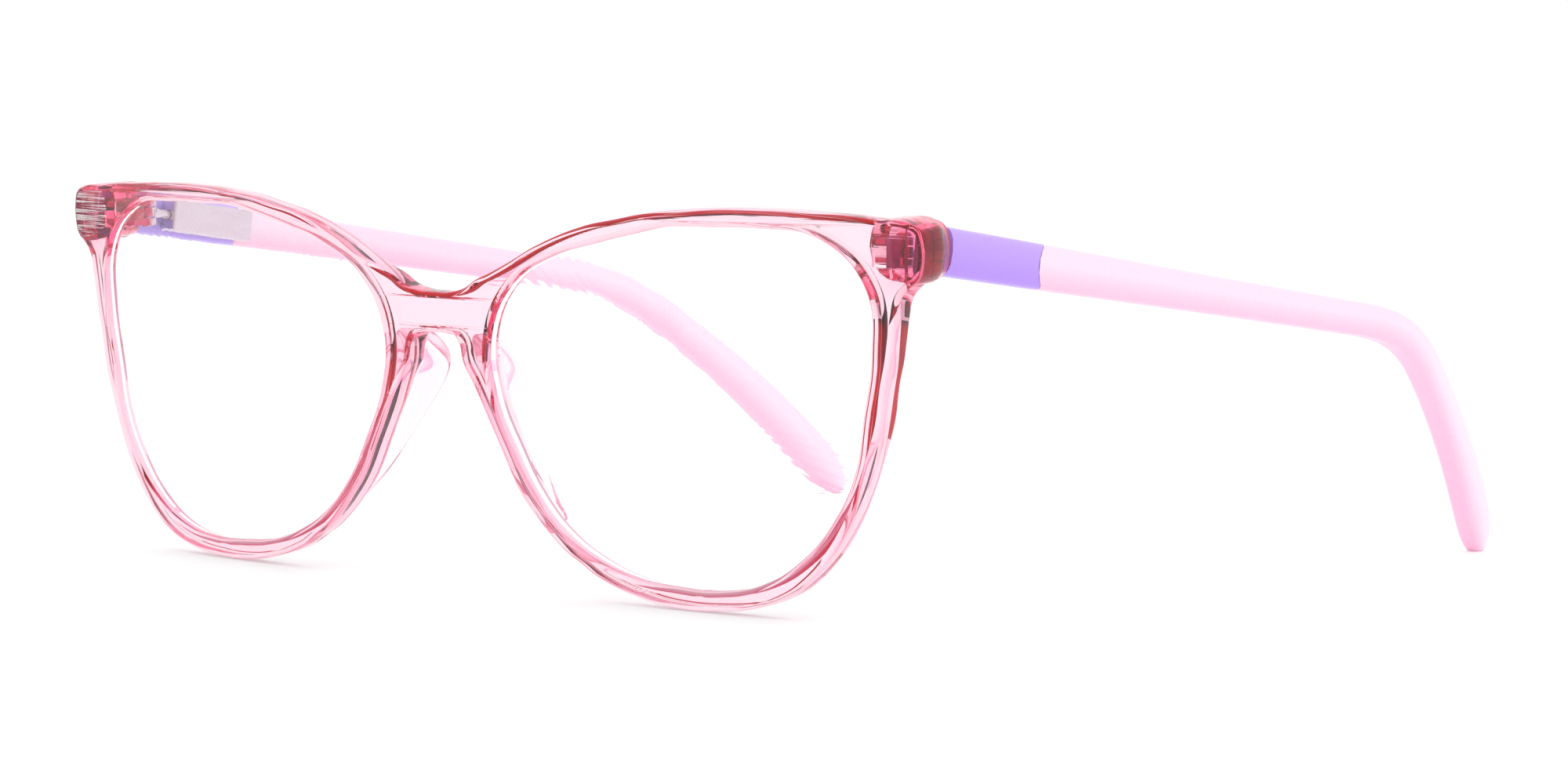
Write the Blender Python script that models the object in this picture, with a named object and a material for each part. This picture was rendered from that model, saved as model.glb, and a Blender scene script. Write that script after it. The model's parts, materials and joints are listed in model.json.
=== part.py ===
"""Full-rim cat-eye glasses for blue light: acetate front, two plano lenses, sprung hinges and temples.

The glasses stand open on the undersides of both rims and both ear tips. +Z is up, -Y is the way the
wearer looks and +X is the wearer's left. Lengths below are millimetres and are scaled to metres when an
object is made. The front is drawn flat, as x across, depth behind the front face and v up, and is then
bent round the wearer's head and tipped forward at the top.
"""

import math

import bmesh
import bpy
from mathutils import Matrix, Vector

MM = 0.001
SHIFT_Y = -72.6

# front
LENS_X = 34.0
WRAP_RADIUS = 355.0
TILT = math.radians(4.65)
CENTRE_Z = 22.72
RIM_DEPTH = 3.2
EDGE_ROUND = 0.6
GROOVE_DEPTH = 0.9
GROOVE_HALF = 0.75
LENS_GAP = 0.15
LENS_APEX = 0.5
LENS_DOME = 1.0

# hinge and end piece
PIVOT_X = 59.7
PIVOT_Y = 10.2
HINGE_Z = 41.4
SEAM_Y = 10.35
SEAM_BOW = 0.5
INNER_X = 58.2
KNUCKLE_R = 1.15
SCREW_R = 0.5
BORE_R = 0.6

# temple
TEMPLE_X = 62.9
TOE = math.radians(1.2)
SLOPE = math.radians(5.95)
STRAIGHT = 84.6
BEND_LENGTH = 25.4
BEND_DOWN = math.radians(26.7)
BEND_IN = math.radians(13.3)
EAR_LENGTH = 38.95
EAR_DOWN = math.radians(14.3)
JOINT_S = 16.3
HORN = 1.5

# aperture of the left rim: u outward from the lens centre, v up, seen from in front
APERTURE = (
    (24.5, 0), (25.6, 6.9), (24.9, 14.4), (19.4, 19.4), (11.8, 20.4), (5.5, 20.4), (0, 20.3), (-5.2, 19.3),
    (-10.4, 18.1), (-16.4, 16.4), (-22.4, 12.9), (-25.7, 6.9), (-25.1, 0), (-22.3, -6), (-19.2, -11.1),
    (-15.2, -15.2), (-10.4, -18), (-5.3, -19.7), (0, -20.3), (5.5, -20.4), (11.2, -19.3), (16.3, -16.3),
    (20.4, -11.8), (23.3, -6.2),
)

# half of the outer outline, from the middle of the bridge's underside round to its top
OUTLINE = (
    (0, 6.9), (2, 6.8), (3.3, 6.4), (4.3, 3.4), (5.4, 1.7), (7.6, -2.3), (9.8, -6.4), (12, -10.5), (14.3, -13.3),
    (16.6, -15.6), (18.8, -17.4), (21, -18.7), (23.2, -20), (29.7, -22.25), (34, -22.95), (38.7, -22.98),
    (44.4, -22.2), (48.5, -20.5), (51, -18.8), (54, -15.7), (56, -12.8), (58, -8.7), (59.6, -4.3), (60.7, -0.8),
    (61.4, 3.5), (62, 6.2), (62.4, 8.8), (62.8, 11.3), (63.3, 13.2), (64.7, 14.7), (65.7, 15.5), (66.1, 16.5),
    (66.1, 19.8), (65.7, 20.8), (64.6, 21.4), (61, 21.7), (57.3, 22.1), (53.4, 22.3), (49.5, 22.5), (43.6, 22.6),
    (39.5, 22.5), (35.3, 22.2), (31.1, 21.8), (26.8, 21), (22.4, 20.1), (15.9, 17.8), (10.9, 15.3), (8.5, 14.2),
    (6.3, 13.3), (4.8, 12.4), (2.5, 11.8), (0, 11.7),
)

# nose pad: v, and how far it stands out behind the rim there
PAD = ((7, 0.5), (5.2, 3.4), (3, 5.9), (0.5, 6.3), (-2.5, 5.4), (-5.5, 4.1), (-8.5, 2.8), (-11.5, 1.5), (-14.4, 0.5))

# temple: distance behind the seam, half height, half thickness
BLADE = (
    (0, 2.72, 1.9), (17.8, 2.6, 1.9), (52, 2.28, 1.9), (84.6, 2.12, 1.85), (110, 2.35, 1.7), (124, 2.75, 1.55),
    (136.5, 3.1, 1.5), (141.5, 3.05, 1.5), (145, 2.7, 1.4), (147.4, 2.05, 1.15), (148.55, 1.3, 0.85), (148.95, 0.7, 0.5),
)


def start():
    for obj in list(bpy.data.objects):
        bpy.data.objects.remove(obj, do_unlink=True)
    parts = bpy.data.collections.new("blue_light_glasses")
    cutters = bpy.data.collections.new("cutters")
    for collection in (parts, cutters):
        bpy.context.scene.collection.children.link(collection)
    cutters.hide_render = True
    return parts, cutters


PARTS, CUTTERS = start()


def material(name, colour, roughness, metallic=0.0, transmission=0.0):
    mat = bpy.data.materials.new(name)
    mat.use_nodes = True
    shader = mat.node_tree.nodes["Principled BSDF"]
    shader.inputs["Base Color"].default_value = (*colour, 1)
    shader.inputs["Roughness"].default_value = roughness
    shader.inputs["Metallic"].default_value = metallic
    shader.inputs["Transmission Weight"].default_value = transmission
    return mat


ACETATE = material("clear_pink_acetate", (0.98, 0.62, 0.74), 0.08, transmission=0.8)
LENS = material("blue_light_lens", (0.95, 0.97, 1.0), 0.02, transmission=1.0)
LILAC = material("lilac_acetate", (0.46, 0.28, 0.86), 0.25)
ROSE = material("pale_pink_acetate", (0.97, 0.72, 0.85), 0.25)
STEEL = material("hinge_steel", (0.75, 0.72, 0.7), 0.3, metallic=1.0)


def add(name, bm, mat, collection=PARTS, origin=(0, 0, 0)):
    """Makes the object in metres, with its origin where a joint axis passes."""
    bmesh.ops.recalc_face_normals(bm, faces=bm.faces)
    mesh = bpy.data.meshes.new(name)
    bm.to_mesh(mesh)
    bm.free()
    place = Vector(origin)
    mesh.transform(Matrix.Scale(MM, 4) @ Matrix.Translation(-place))
    obj = bpy.data.objects.new(name, mesh)
    obj.location = (place + Vector((0, SHIFT_Y, 0))) * MM
    if mat:
        mesh.materials.append(mat)
    collection.objects.link(obj)
    if collection is CUTTERS:
        obj.display_type = "WIRE"
        obj.hide_render = True
    return obj


def cut(target, cutter, operation="DIFFERENCE"):
    boolean = target.modifiers.new(cutter.name, "BOOLEAN")
    boolean.object = cutter
    boolean.operation = operation
    boolean.solver = "EXACT"


def loft(bm, rings, caps=True):
    """Skin over rings of equal length, closed by a flat face at each end when caps is set."""
    loops = [[bm.verts.new(point) for point in ring] for ring in rings]
    count = len(loops[0])
    for here, there in zip(loops, loops[1:]):
        for i in range(count):
            j = (i + 1) % count
            bm.faces.new((here[i], here[j], there[j], there[i]))
    if caps:
        bm.faces.new(loops[0])
        bm.faces.new(loops[-1])
    return loops


def strip_cap(bm, loop):
    """Closes a ring whose points face each other in pairs, so that the end may be hollowed or domed."""
    last = len(loop) - 1
    for i in range(len(loop) // 2 - 1):
        bm.faces.new((loop[i], loop[i + 1], loop[last - i - 1], loop[last - i]))


def flipped(points, side):
    return [Vector((side * p[0], p[1], p[2])) for p in points]


def smooth(points, steps):
    """A closed Catmull-Rom curve through the points."""
    found = []
    count = len(points)
    for i in range(count):
        a, b, c, d = (Vector(points[(i + k) % count]) for k in (-1, 0, 1, 2))
        for n in range(steps):
            t = n / steps
            found.append(
                0.5 * (2 * b + (c - a) * t + (2 * a - 5 * b + 4 * c - d) * t * t + (3 * b - a - 3 * c + d) * t**3)
            )
    return found


def offset(points, distance):
    """Moves each point of a closed, anticlockwise outline outward along the bisector of its two sides."""
    found = []
    count = len(points)
    for i, here in enumerate(points):
        before = (here - points[i - 1]).normalized()
        after = (points[(i + 1) % count] - here).normalized()
        out = Vector((before.y + after.y, -before.x - after.x)).normalized()
        lean = max(0.5, out.dot(Vector((after.y, -after.x))))
        found.append(here + out * (distance / lean))
    return found


def bent(x, depth, v):
    """A point of the flat front, carried onto the wrapped and tilted one."""
    y = (x * x - LENS_X * LENS_X) / (2 * WRAP_RADIUS) + depth
    z = CENTRE_Z + y * math.sin(TILT) + v * math.cos(TILT)
    return Vector((x, y * math.cos(TILT) - v * math.sin(TILT), z))


def bend(bm):
    for vert in bm.verts:
        vert.co = bent(*vert.co)


def aperture(side):
    points = [Vector((LENS_X + u, v)) for u, v in smooth([Vector(p) for p in APERTURE], 2)]
    if side < 0:
        points = [Vector((-p.x, p.y)) for p in reversed(points)]
    return points


def outline():
    half = [Vector(p) for p in OUTLINE]
    other = [Vector((-p.x, p.y)) for p in reversed(half[1:-1])]
    return half + other


def wall(bm, points, profile):
    """Loops round an outline: profile gives (distance outward, depth) from the front face to the back."""
    rings = [[(p.x, depth, p.y) for p in offset(points, distance)] for distance, depth in profile]
    return loft(bm, rings, caps=False)


def rounded_edge(sign):
    """The two rounded corners of a wall, with the inset towards the acetate given by sign."""
    e = EDGE_ROUND
    back = RIM_DEPTH
    front = [(sign * e, 0.0), (sign * 0.3 * e, 0.3 * e * 0.75), (0.0, e)]
    return front, [(0.0, back - e), (sign * 0.3 * e, back - 0.3 * e * 0.75), (sign * e, back)]


def fill(bm, loops):
    edges = []
    for loop in loops:
        for i, vert in enumerate(loop):
            edges.append(bm.edges.get((vert, loop[(i + 1) % len(loop)])))
    bmesh.ops.triangle_fill(bm, use_beauty=True, use_dissolve=False, edges=edges)


def end_block(side):
    """The end piece behind the rim's top outer corner, running back to the seam with the temple."""
    rings = []
    for y, outer, half in ((None, 65.85, 2.7), (7.0, 65.7, 2.75), (9.0, 65.1, 2.72)):
        middle = (INNER_X + outer) / 2
        wide = (outer - INNER_X) / 2
        ring = []
        for across, up in section():
            x, z = middle + across * wide, HINGE_Z - 0.1 + half * up
            ring.append((x, bent(x, 2.1, z - CENTRE_Z).y if y is None else y, z))
        rings.append(ring)
    low, high = INNER_X - TEMPLE_X, 1.9
    ring = []
    for across, up in section():
        ring.append(at(-SEAM_BOW * up * up, (low + high) / 2 + across * (high - low) / 2, 2.7 * up))
    rings.append(ring)
    bm = bmesh.new()
    loops = loft(bm, [flipped(ring, side) for ring in rings], caps=False)
    strip_cap(bm, loops[0])
    strip_cap(bm, loops[-1])
    return bm


def section(power=5.0, count=16):
    """A rounded oblong of half size one, listed up one side and down the other."""
    points = []
    for i in range(count):
        angle = -math.pi / 2 + (i + 0.5) * 2 * math.pi / count
        c, s = math.cos(angle), math.sin(angle)
        points.append((math.copysign(abs(c) ** (2 / power), c), math.copysign(abs(s) ** (2 / power), s)))
    return points


def box(size_x, size_y, size_z):
    """A box from three (low, high) pairs."""
    spans = (size_x, size_y, size_z)
    centre = Vector([sum(span) / 2 for span in spans])
    scale = Matrix.Diagonal([span[1] - span[0] for span in spans] + [1])
    bm = bmesh.new()
    bmesh.ops.create_cube(bm, size=1, matrix=Matrix.Translation(centre) @ scale)
    return bm


def sided(span, side):
    return tuple(sorted(side * value for value in span))


def floor_cutter():
    return add("floor_cut", box((-90, 90), (-20, 165), (-6, 0)), None, CUTTERS)


FLOOR = floor_cutter()


def hinge_pocket(side, name):
    """The seat of the hinge in the end piece, open to the rear."""
    bm = box(sided((58.75, 60.65), side), (4.7, 9.5), (HINGE_Z - 1.8, HINGE_Z + 1.8))
    return add("hinge_pocket_" + name, bm, None, CUTTERS)


def hinge_notch(side, name):
    """Leaves the end piece as thick as the temple at the seam, so the knuckles stand free inside it."""
    bm = box(sided((57, 60.95), side), (8.8, 12), (HINGE_Z - 4, HINGE_Z + 4))
    return add("hinge_notch_" + name, bm, None, CUTTERS)


def front_frame():
    """One plate of acetate: both rims with a lens groove, the bridge and the two end pieces."""
    bm = bmesh.new()
    front, back = rounded_edge(-1)
    outer = wall(bm, outline(), front + back)
    front, back = rounded_edge(1)
    middle = RIM_DEPTH / 2
    groove = [(0.0, middle - GROOVE_HALF), (GROOVE_DEPTH, middle), (0.0, middle + GROOVE_HALF)]
    holes = [wall(bm, aperture(side), front + groove + back) for side in (1, -1)]
    for end in (0, -1):
        fill(bm, [outer[end]] + [hole[end] for hole in holes])
    bend(bm)
    obj = add("front_frame", bm, ACETATE)
    for side, name in ((1, "left"), (-1, "right")):
        cut(obj, add("end_block_" + name, end_block(side), None, CUTTERS), "UNION")
        cut(obj, hinge_pocket(side, name))
        cut(obj, hinge_notch(side, name))
    cut(obj, FLOOR)
    return obj


def lens(side, name):
    """A plano lens: domed faces and an edge that comes to a ridge in the rim's groove."""
    points = aperture(side)
    middle = RIM_DEPTH / 2
    centre = Vector((side * LENS_X, 0))
    rings = []

    def face(depth):
        found = []
        for share in (0.2, 0.45, 0.7, 0.88):
            dome = LENS_DOME * (1 - share * share)
            ring = [centre + (p - centre) * share for p in points]
            found.append([(p.x, depth - dome, p.y) for p in ring])
        return found

    rings += face(middle - 0.75)
    for distance, depth in ((-LENS_GAP, middle - 0.75), (LENS_APEX, middle), (-LENS_GAP, middle + 0.75)):
        rings.append([(p.x, depth, p.y) for p in offset(points, distance)])
    rings += reversed(face(middle + 0.75))
    bm = bmesh.new()
    loft(bm, rings)
    bend(bm)
    return add("lens_" + name, bm, LENS)


def nose_pad(side, name):
    """A built-up acetate pad bonded behind the nose side of the rim, thinnest at both ends."""
    rings = []
    inner_edge = ((-25.75, 7), (-25.9, 3), (-25.2, 0), (-23.9, -2.5), (-22.5, -5.5), (-20.9, -8.5), (-18.9, -11.5), (-16.0, -14.4))
    for v, rise in PAD:
        a = between(inner_edge, v)
        b = between([(x - LENS_X, y) for x, y in OUTLINE[2:12]], v)
        wide = a - b
        low, high = LENS_X + b + 0.12 * wide, LENS_X + a - 0.06 * wide
        base = RIM_DEPTH + 0.06
        top = base + rise
        lean = 0.3 * rise / 6.3
        slim = min(0.75, rise * 0.18)
        ring = (
            (low, base, v), (low - lean, base + 0.6 * rise, v), (low - lean + 0.2 * slim, top - 0.25 * slim, v),
            (low - lean + 0.8 * slim, top, v), (high - 0.9 * slim, top - 0.1 * rise, v),
            (high - 0.3 * slim, base + 0.6 * rise, v), (high, base, v),
        )
        rings.append(flipped(ring, side))
    bm = bmesh.new()
    loft(bm, rings)
    bend(bm)
    return add("nose_pad_" + name, bm, ACETATE)


def between(pairs, v):
    """The u where a run of (u, v) points, ordered down v, passes the height v."""
    for (u0, v0), (u1, v1) in zip(pairs, pairs[1:]):
        if v1 <= v <= v0:
            return u0 + (u1 - u0) * (v0 - v) / (v0 - v1)
    return pairs[0][0] if v > pairs[0][1] else pairs[-1][0]


def ease(value):
    value = min(1.0, max(0.0, value))
    return value * value * (3 - 2 * value)


def blade_path():
    """Centre line of the left temple every 0.1 mm, with its directions along, outward and up."""
    where = Vector((TEMPLE_X, SEAM_Y, HINGE_Z))
    step = 0.1
    found = []
    for i in range(int((STRAIGHT + BEND_LENGTH + EAR_LENGTH) / step) + 3):
        s = i * step
        turn = ease((s - STRAIGHT) / BEND_LENGTH)
        ear = min(1.0, max(0.0, (s - STRAIGHT - BEND_LENGTH) / EAR_LENGTH))
        down = SLOPE + BEND_DOWN * turn + EAR_DOWN * ear
        out = TOE - BEND_IN * turn
        along = Vector((math.sin(out), math.cos(out) * math.cos(down), -math.cos(out) * math.sin(down)))
        up = Vector((0, math.sin(down), math.cos(down)))
        found.append((where.copy(), along, along.cross(up).normalized(), up))
        where = where + along * step
    return found


PATH = blade_path()


def at(s, out, up):
    """A point of the left temple, s behind the seam, out from its centre line and up."""
    where, along, outward, upward = PATH[max(0, min(len(PATH) - 1, int(round(s / 0.1))))]
    return where + along * min(0.0, s) + outward * out + upward * up


def blade_size(s):
    """Half height and half thickness of the temple, eased between the listed stations."""
    for (s0, h0, t0), (s1, h1, t1) in zip(BLADE, BLADE[1:]):
        if s <= s1:
            share = ease((s - s0) / (s1 - s0)) * 0.5 + 0.5 * (max(s, s0) - s0) / (s1 - s0)
            return h0 + (h1 - h0) * share, t0 + (t1 - t0) * share
    return BLADE[-1][1:]


def blade_ring(side, station):
    """One section of the temple. station gives s for a relative height between -1 and 1."""
    ring = []
    for across, up in section():
        s = station(up)
        half, thick = blade_size(max(0.0, s))
        ring.append(at(s, across * thick, up * half))
    return flipped(ring, side)


def seam_station(up):
    return 0.2 - SEAM_BOW * up * up


def joint_station(up):
    return JOINT_S + HORN * abs(up) ** 2.5


def blade(rings):
    bm = bmesh.new()
    loops = loft(bm, rings, caps=False)
    strip_cap(bm, loops[0])
    strip_cap(bm, loops[-1])
    return bm


def pivot(side):
    return Vector((side * PIVOT_X, PIVOT_Y, HINGE_Z))


def temple_front(side, name):
    """The lilac section next to the hinge, slotted on its inner face for the housing's anchor."""
    rings = [blade_ring(side, seam_station)]
    for s in (3.0, 7.0, 11.0):
        rings.append(blade_ring(side, lambda up, s=s: s))
    rings.append(blade_ring(side, lambda up: joint_station(up) - 0.05))
    obj = add("temple_front_" + name, blade(rings), LILAC, origin=pivot(side))
    slot = add("anchor_slot_" + name, local_box(side, (-2.6, -0.65), (5.85, 15.15), (-0.65, 0.65)), None, CUTTERS)
    cut(obj, slot)
    return obj


def temple_rear(side, name):
    """The pale pink section: a slim arm, the ear bend and the paddle, bored for the core wire."""
    rings = [blade_ring(side, lambda up: joint_station(up) + 0.05)]
    stations = [22, 34, 46, 58, 70, 80, 86, 90, 94, 98, 102, 106, 110, 117, 124, 130, 136, 139, 141, 143, 144.5]
    for s in stations + [146.3, 147.4, 148, 148.55, 148.95]:
        rings.append(blade_ring(side, lambda up, s=s: s))
    obj = add("temple_rear_" + name, blade(rings), ROSE, origin=pivot(side))
    bore = add("wire_bore_" + name, rod(side, 0.72, 14, 129.5), None, CUTTERS)
    cut(obj, bore)
    cut(obj, FLOOR)
    return obj


def rod(side, radius, low, high):
    """A round rod along the middle of the temple."""
    stations = [low] + [s for s in (30, 50, 70, 84, 90, 95, 100, 105, 110, 118, 126) if low < s < high] + [high]
    rings = []
    for s in stations:
        ring = []
        for i in range(10):
            angle = 2 * math.pi * i / 10
            ring.append(at(s, radius * math.cos(angle), radius * math.sin(angle)))
        rings.append(flipped(ring, side))
    bm = bmesh.new()
    loft(bm, rings)
    return bm


def core_wire(side, name):
    return add("core_wire_" + name, rod(side, 0.6, 17.4, 128.8), STEEL, origin=pivot(side))


def local(side, out, along, up):
    """A point given from the hinge axis: out from the axis, along the temple's first direction and up."""
    _, direction, outward, upward = PATH[0]
    place = Vector((PIVOT_X, PIVOT_Y, HINGE_Z)) + direction * along + outward * out + upward * up
    return Vector((side * place.x, place.y, place.z))


FACE_OUT = TEMPLE_X - PIVOT_X


def local_box(side, out, along, up):
    """A box in the directions of the temple. out is measured from the temple's centre line."""
    bm = bmesh.new()
    verts = []
    for a in along:
        for o, u in ((0, 0), (1, 0), (1, 1), (0, 1)):
            verts.append(bm.verts.new(local(side, out[o] + FACE_OUT, a, up[u])))
    bm.faces.new(verts[:4])
    bm.faces.new(verts[4:])
    for i in range(4):
        j = (i + 1) % 4
        bm.faces.new((verts[i], verts[j], verts[j + 4], verts[i + 4]))
    return bm


def turned(side, profile, count=20):
    """A round body about the hinge's slide axis, from (radius, along) pairs."""
    rings = []
    for radius, along in profile:
        ring = []
        for i in range(count):
            angle = 2 * math.pi * i / count
            ring.append(local(side, radius * math.cos(angle), along, radius * math.sin(angle)))
        rings.append(ring)
    bm = bmesh.new()
    loft(bm, rings)
    return bm


def upright(side, profile, count=20):
    """A round body about the hinge axis, from (radius, height above the hinge's middle) pairs."""
    rings = []
    for radius, height in profile:
        ring = []
        for i in range(count):
            angle = 2 * math.pi * i / count
            x = side * PIVOT_X + radius * math.cos(angle)
            ring.append(Vector((x, PIVOT_Y + radius * math.sin(angle), HINGE_Z + height)))
        rings.append(ring)
    bm = bmesh.new()
    loft(bm, rings)
    return bm


def front_hinge(side, name):
    """The fixed half of the hinge: two knuckles, the block between them and two toothed anchor legs."""
    z = HINGE_Z
    obj = add("front_hinge_" + name, box(sided((58.9, 60.5), side), (7.4, 8.8), (z - 1.65, z + 1.65)), STEEL)
    for end, sign in (("top", 1), ("foot", -1)):
        low, high = sorted((z + sign * 0.75, z + sign * 1.65))
        arm = box(sided((58.9, 60.5), side), (8.6, PIVOT_Y), (low, high))
        cut(obj, add("arm_" + end + "_" + name, arm, None, CUTTERS), "UNION")
        barrel = upright(side, ((KNUCKLE_R, low - z), (KNUCKLE_R, high - z)))
        cut(obj, add("barrel_" + end + "_" + name, barrel, None, CUTTERS), "UNION")
        cut(obj, add("leg_" + end + "_" + name, toothed_leg(side, sign), None, CUTTERS), "UNION")
    bore = upright(side, ((BORE_R, -3), (BORE_R, 3)))
    cut(obj, add("knuckle_bore_" + name, bore, None, CUTTERS))
    return obj


def toothed_leg(side, sign):
    """A leg with four teeth on its outer edge, which grip the acetate."""
    teeth = [(4.9, 0.7), (7.6, 0.7), (7.6, 1.5)]
    for i in range(4):
        teeth += [(7.2 - 0.58 * i, 1.5), (7.2 - 0.58 * (i + 0.75), 1.22)]
    teeth.append((4.9, 1.3))
    rings = []
    for x in (59.0, 60.4):
        rings.append([(side * x, y, HINGE_Z + sign * height) for y, height in teeth])
    bm = bmesh.new()
    loft(bm, rings)
    return bm


def hinge_screw(side, name):
    """The pivot: a shank through the three knuckles and a slotted head on top."""
    bm = upright(side, ((SCREW_R, -1.8), (SCREW_R, 1.75), (0.95, 1.75), (0.95, 2.0), (0.7, 2.2)))
    obj = add("hinge_screw_" + name, bm, STEEL, origin=pivot(side))
    z = HINGE_Z + 2.0
    slot = box(sided((PIVOT_X - 1.2, PIVOT_X + 1.2), side), (PIVOT_Y - 0.12, PIVOT_Y + 0.12), (z, z + 0.5))
    cut(obj, add("driver_slot_" + name, slot, None, CUTTERS))
    return obj


def spring_slider(side, name):
    """The moving half of the hinge: a single knuckle on a round shaft that slides in the housing."""
    bm = turned(side, ((0.55, 0.85), (0.55, 14.8), (0.4, 15.0)))
    obj = add("spring_slider_" + name, bm, STEEL, origin=pivot(side))
    barrel = upright(side, ((KNUCKLE_R, -0.6), (KNUCKLE_R, 0.6)))
    cut(obj, add("slider_barrel_" + name, barrel, None, CUTTERS), "UNION")
    bore = upright(side, ((BORE_R, -2), (BORE_R, 2)))
    cut(obj, add("slider_bore_" + name, bore, None, CUTTERS))
    return obj


def slider_nut(side, name):
    """The collar on the end of the shaft, which the spring pushes against."""
    obj = add("slider_nut_" + name, turned(side, ((0.92, 13.5), (0.92, 14.5))), STEEL, origin=pivot(side))
    bore = turned(side, ((0.6, 13), (0.6, 15.4)))
    cut(obj, add("nut_bore_" + name, bore, None, CUTTERS))
    return obj


def spring_housing(side, name):
    """The housing on the temple's inner face, bored for slider and spring, with a buried anchor fin."""
    bm = local_box(side, (-4.4, -2.0), (3.8, 17.7), (-2.0, 2.0))
    bmesh.ops.bevel(bm, geom=bm.edges, offset=0.25, segments=2, profile=0.5, affect="EDGES")
    obj = add("spring_housing_" + name, bm, STEEL, origin=pivot(side))
    fin = local_box(side, (-2.3, -0.8), (6, 15), (-0.5, 0.5))
    cut(obj, add("housing_fin_" + name, fin, None, CUTTERS), "UNION")
    bore = turned(side, ((0.63, 3), (0.63, 5.1), (1.03, 5.1), (1.03, 16.9)))
    cut(obj, add("housing_bore_" + name, bore, None, CUTTERS))
    return obj


def hinge_spring(side, name):
    """Compression spring round the slider's shaft, held between the housing's front wall and the nut."""
    turns, low, high, radius, wire = 8, 5.35, 13.25, 0.8, 0.12
    rings = []
    steps = 14 * turns
    for i in range(steps + 1):
        angle = 2 * math.pi * i / 14
        along = low + wire + (high - low - 2 * wire) * i / steps
        ring = []
        for k in range(6):
            turn = 2 * math.pi * k / 6
            reach = radius + wire * math.cos(turn)
            push = along + wire * math.sin(turn)
            ring.append(local(side, reach * math.cos(angle), push, reach * math.sin(angle)))
        rings.append(ring)
    bm = bmesh.new()
    loft(bm, rings)
    return add("hinge_spring_" + name, bm, STEEL, origin=pivot(side))


front_frame()
for which, word in ((1, "left"), (-1, "right")):
    lens(which, word)
    nose_pad(which, word)
    front_hinge(which, word)
    hinge_screw(which, word)
    spring_slider(which, word)
    slider_nut(which, word)
    spring_housing(which, word)
    hinge_spring(which, word)
    temple_front(which, word)
    temple_rear(which, word)
    core_wire(which, word)
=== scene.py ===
"""The finished looks of the blue light glasses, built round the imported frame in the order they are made.

Lengths are millimetres in a piece's own making and metres once it is placed. The front is made flat, as
x across, y deep behind its front face and z up, then wrapped and tipped like the CAD front.
"""

import json
import math

import bmesh
import bpy
from mathutils import Matrix, Vector


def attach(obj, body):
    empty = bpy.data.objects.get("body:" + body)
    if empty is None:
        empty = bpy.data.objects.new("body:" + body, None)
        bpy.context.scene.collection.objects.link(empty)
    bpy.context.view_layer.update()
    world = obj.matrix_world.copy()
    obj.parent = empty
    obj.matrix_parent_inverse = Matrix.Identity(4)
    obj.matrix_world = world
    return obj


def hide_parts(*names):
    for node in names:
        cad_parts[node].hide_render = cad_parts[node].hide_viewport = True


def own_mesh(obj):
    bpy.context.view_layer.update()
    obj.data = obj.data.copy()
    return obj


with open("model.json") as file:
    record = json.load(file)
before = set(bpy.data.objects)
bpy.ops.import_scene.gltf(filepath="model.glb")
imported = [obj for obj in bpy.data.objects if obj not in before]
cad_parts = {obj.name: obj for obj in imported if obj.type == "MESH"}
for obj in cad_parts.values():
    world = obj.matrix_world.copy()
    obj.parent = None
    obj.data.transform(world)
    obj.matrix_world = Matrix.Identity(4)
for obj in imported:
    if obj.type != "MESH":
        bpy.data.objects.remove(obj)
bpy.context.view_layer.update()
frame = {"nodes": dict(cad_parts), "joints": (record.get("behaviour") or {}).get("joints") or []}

# ---------------------------------------------------------------------------------------------------
# The acetate front: one polished sheet, sawn to shape, with an end piece built up behind each top corner
# and cut away for the hinge. It is clear, tinted pink all the way through.

MM = 0.001
SHIFT_Y = -72.6
LENS_X = 34.0
SHEET = 3.2
EDGE_ROUND = 0.6
WRAP_RADIUS = 355.0
TILT = math.radians(4.65)
CENTRE_Z = 22.72
END_DEPTH = 7.3
END_X = 66.1
SEAM_X = 64.8
TAPER_X = 60.0
TAPER_WIDTH = 5.0
TAPER_DEPTH = 4.0
TAPER_CUTS = (3.6, 4.4, 5.2, 6.0, 6.6)
HINGE_NOTCH = ((56.0, 8.8, 35.0), (60.95, 14.0, 50.0))
HINGE_POCKET = ((58.75, 4.7, 39.6), (60.65, 9.5, 43.2))

# the left lens opening, from its own centre
APERTURE = (
    (24.5, 0), (25.6, 6.9), (24.9, 14.4), (19.4, 19.4), (11.8, 20.4), (5.5, 20.4), (0, 20.3),
    (-5.2, 19.3), (-10.4, 18.1), (-16.4, 16.4), (-22.4, 12.9), (-25.7, 6.9), (-25.1, 0), (-22.3, -6),
    (-19.2, -11.1),
    (-15.2, -15.2), (-10.4, -18), (-5.3, -19.7), (0, -20.3), (5.5, -20.4), (11.2, -19.3), (16.3, -16.3),
    (20.4, -11.8), (23.3, -6.2),
)

# the front's left half, from under the bridge round the rim and the end piece to the bridge's top
OUTLINE = (
    (0, 6.9), (2, 6.8), (3.3, 6.4), (4.3, 3.4), (5.4, 1.7), (7.6, -2.3), (9.8, -6.4), (12, -10.5),
    (14.3, -13.3), (16.6, -15.6), (18.8, -17.4), (21, -18.7), (23.2, -20), (29.7, -22.1), (34, -22.7),
    (38.7, -22.7), (44.4, -22.0), (48.5, -20.5), (51, -18.8), (54, -15.7), (56, -12.8), (58, -8.7),
    (59.6, -4.3), (60.7, -0.8), (61.4, 3.5), (62, 6.2), (62.4, 8.8), (62.8, 11.3), (63.3, 13.2),
    (64.7, 14.7), (65.7, 15.5), (66.1, 16.5), (66.1, 19.8), (65.7, 20.8), (64.6, 21.4), (61, 21.7),
    (57.3, 22.1), (53.4, 22.3), (49.5, 22.5), (43.6, 22.6), (39.5, 22.5), (35.3, 22.2), (31.1, 21.8),
    (26.8, 21), (22.4, 20.1), (15.9, 17.8), (10.9, 15.3), (8.5, 14.2), (6.3, 13.3), (4.8, 12.4),
    (2.5, 11.8), (0, 11.7),
)

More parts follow.
